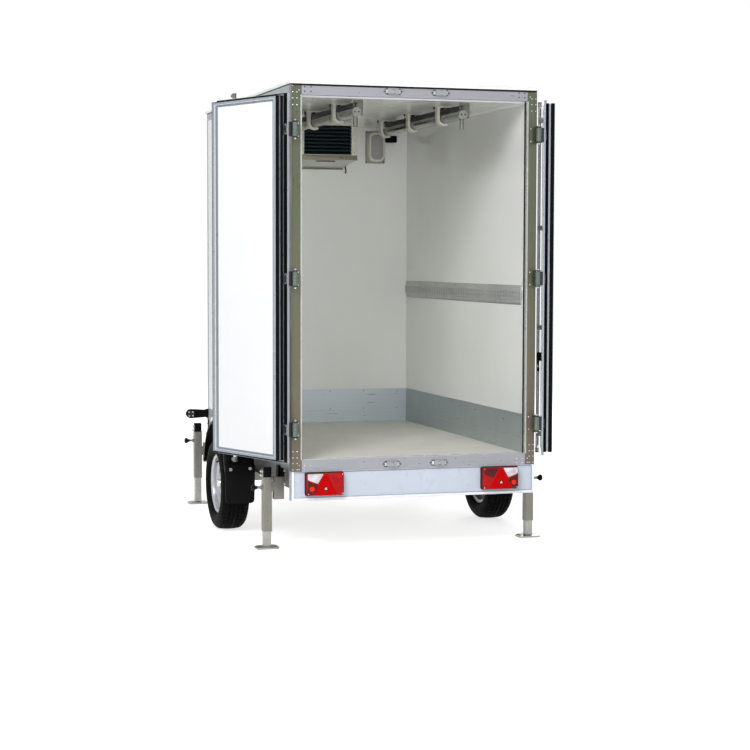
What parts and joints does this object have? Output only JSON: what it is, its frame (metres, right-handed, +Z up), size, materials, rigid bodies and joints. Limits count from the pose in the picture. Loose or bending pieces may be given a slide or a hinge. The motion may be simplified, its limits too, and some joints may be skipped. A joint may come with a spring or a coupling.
{
  "type": "refrigerated box trailer",
  "caption": "Single-axle refrigerated box trailer with twin rear doors, hanging rails, cooling unit, support legs and an overrun drawbar.",
  "frame": {"origin": "middle of the trailer's length and width, on the ground", "axes": "+X to the right, +Y forward to the coupling, +Z up"},
  "size_m": [2.2542, 3.8766, 2.813],
  "materials": {
    "white_panel": "glossy white laminate over an insulating core",
    "aluminium_profile": "anodised aluminium profile, fine lengthways grain",
    "stainless": "brushed stainless steel",
    "white_paint": "white powder coat",
    "galvanised": "hot-dip galvanised steel with soft spangle",
    "black_rubber": "black rubber",
    "black_plastic": "black moulded plastic",
    "tyre": "black tyre rubber",
    "rim": "silver-painted steel",
    "lamp_red": "red lamp lens",
    "floor_beige": "beige anti-slip floor",
    "kick_aluminium": "aluminium sheet",
    "evaporator_white": "cream-white casing",
    "lamp_grey": "grey lamp housing",
    "cooling_white": "white cooling-unit cover"
  },
  "bodies": {
    "trailer": {"floor": "floor_beige", "wall_left": "white_panel", "wall_right": "white_panel", "wall_front": "white_panel", "roof": "white_panel", "edge_profiles": "aluminium_profile", "rear_post_left": "stainless", "rear_post_right": "stainless", "header_rail": "aluminium_profile", "sill_rail": "aluminium_profile", "rear_crossmember": "white_paint", "tail_lamps": "lamp_red", "chassis_rail_left": "galvanised", "chassis_rail_right": "galvanised", "floor_bearers": "galvanised", "drawbar_arms": "galvanised", "leg_sleeves": "galvanised", "overrun_hitch": "galvanised", "axle": "galvanised", "mudguards": "black_plastic", "kick_plates": "kick_aluminium", "lashing_rails": "galvanised", "interior_lamp": "lamp_grey", "meat_rails": "stainless", "evaporator": "evaporator_white", "condensing_unit": "cooling_white", "marker_lamps": "black_rubber", "jockey_tube": "galvanised"},
    "jockey_stem": {"jockey_stem": "galvanised"},
    "jockey_fork": {"jockey_fork": "galvanised"},
    "jockey_wheel": {"jockey_wheel": "black_rubber"},
    "door_left": {"door_panel_left": "white_panel", "door_frame_left": "aluminium_profile", "door_seal_left": "black_rubber"},
    "wheel_left": {"tyre_left": "tyre", "rim_left": "rim"},
    "leg_rear_left": {"leg_foot_rear_left": "galvanised"},
    "leg_front_left": {"leg_foot_front_left": "galvanised"},
    "door_right": {"door_panel_right": "white_panel", "door_frame_right": "aluminium_profile", "door_seal_right": "black_rubber"},
    "wheel_right": {"tyre_right": "tyre", "rim_right": "rim"},
    "leg_rear_right": {"leg_foot_rear_right": "galvanised"},
    "leg_front_right": {"leg_foot_front_right": "galvanised"}
  },
  "joints": [
    {"name": "door_left_swing", "type": "hinge", "parent": "trailer", "child": "door_left", "pos_m": [-0.7665, -1.92135, 1.6476], "axis": [0, 0, 1], "range_deg": [-18, 248.6]},
    {"name": "wheel_left_spin", "type": "hinge", "parent": "trailer", "child": "wheel_left", "pos_m": [-0.909, -0.69365, 0.298], "axis": [1, 0, 0], "continuous": true},
    {"name": "door_right_swing", "type": "hinge", "parent": "trailer", "child": "door_right", "pos_m": [0.7665, -1.92135, 1.6476], "axis": [0, 0, -1], "range_deg": [-18, 248.6]},
    {"name": "wheel_right_spin", "type": "hinge", "parent": "trailer", "child": "wheel_right", "pos_m": [0.909, -0.69365, 0.298], "axis": [1, 0, 0], "continuous": true},
    {"name": "leg_rear_left_slide", "type": "slide", "parent": "trailer", "child": "leg_rear_left", "axis": [0, 0, 1], "range_m": [-0.06, 0.085]},
    {"name": "leg_rear_right_slide", "type": "slide", "parent": "trailer", "child": "leg_rear_right", "axis": [0, 0, 1], "range_m": [-0.06, 0.085]},
    {"name": "leg_front_left_slide", "type": "slide", "parent": "trailer", "child": "leg_front_left", "axis": [0, 0, 1], "range_m": [-0.06, 0.165]},
    {"name": "leg_front_right_slide", "type": "slide", "parent": "trailer", "child": "leg_front_right", "axis": [0, 0, 1], "range_m": [-0.06, 0.165]},
    {"name": "jockey_slide", "type": "slide", "parent": "trailer", "child": "jockey_stem", "axis": [0, 0, 1], "range_m": [-0.06, 0.14]},
    {"name": "jockey_swivel", "type": "hinge", "parent": "jockey_stem", "child": "jockey_fork", "pos_m": [0.272, 1.37035, 0.23], "axis": [0, 0, 1], "continuous": true},
    {"name": "jockey_wheel_spin", "type": "hinge", "parent": "jockey_fork", "child": "jockey_wheel", "pos_m": [0.272, 1.32535, 0.1], "axis": [1, 0, 0], "continuous": true}
  ]
}
